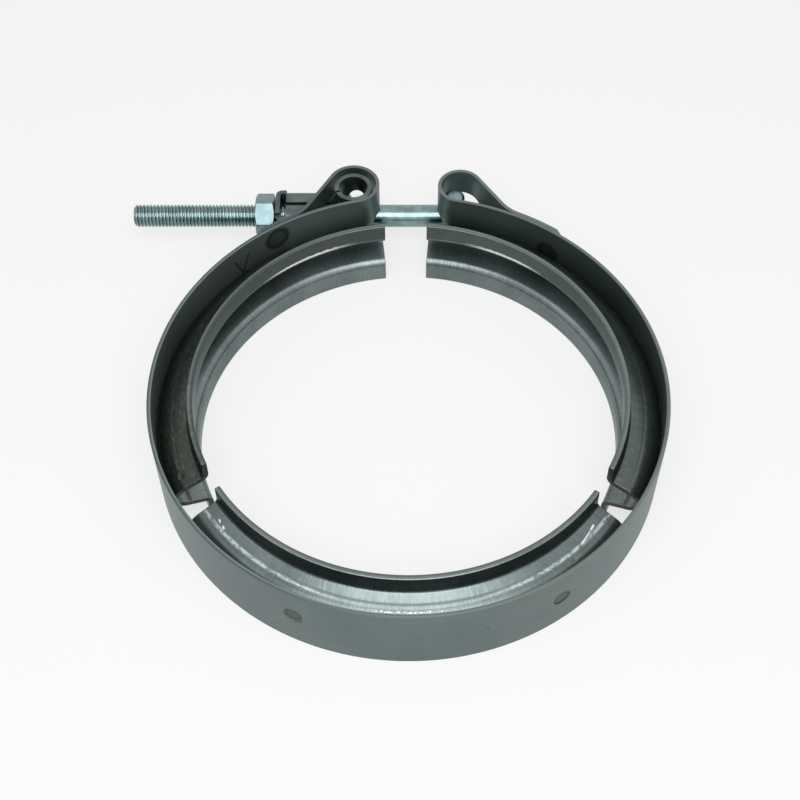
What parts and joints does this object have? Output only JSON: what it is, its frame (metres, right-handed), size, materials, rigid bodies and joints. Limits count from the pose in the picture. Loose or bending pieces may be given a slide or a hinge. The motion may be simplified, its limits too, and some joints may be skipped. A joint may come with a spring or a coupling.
{
  "type": "v-band clamp",
  "caption": "V-band clamp: a looped strap with V-section retainers inside, closed by a folded trunnion, a T-bolt and a hex nut, for exhaust or charge-air flanges.",
  "frame": {"origin": "on the ring's axis at mid height, which is the plane where the two flanges meet", "axes": "+Z along the ring's axis, +Y from the axis to the gap with the bolt, +X along the bolt from its threaded end to its cross bar"},
  "size_m": [0.1809, 0.1799, 0.0274],
  "materials": {
    "strap_steel": "satin",
    "retainer_steel": "satin",
    "trunnion_steel": "satin",
    "bolt_zinc": "zinc plated",
    "nut_zinc": "zinc plated"
  },
  "bodies": {
    "clamp_ring": {"strap": "strap_steel", "retainer_left": "retainer_steel", "retainer_front": "retainer_steel", "retainer_right": "retainer_steel"},
    "trunnion": {"trunnion": "trunnion_steel"},
    "bolt": {"t_bolt": "bolt_zinc"},
    "nut": {"nut": "nut_zinc"}
  },
  "joints": [
    {"name": "trunnion_swing", "type": "hinge", "parent": "clamp_ring", "child": "trunnion", "pos_m": [-0.01941, 0.08729, -0.0015], "axis": [0, 0, 1], "range_deg": [-1.5, 1.5]},
    {"name": "nut_turn", "type": "hinge", "parent": "trunnion", "child": "nut", "pos_m": [-0.0514, 0.08729, -0.0015], "axis": [1, 0, 0], "range_deg": [-1368, 230]},
    {"name": "bolt_draw", "type": "slide", "parent": "trunnion", "child": "bolt", "axis": [1, 0, 0], "range_m": [-0.0008, 0.00476]}
  ],
  "couplings": [
    {"joint": "bolt_draw", "follows": "nut_turn", "m_per_rad": -0.00019894}
  ]
}
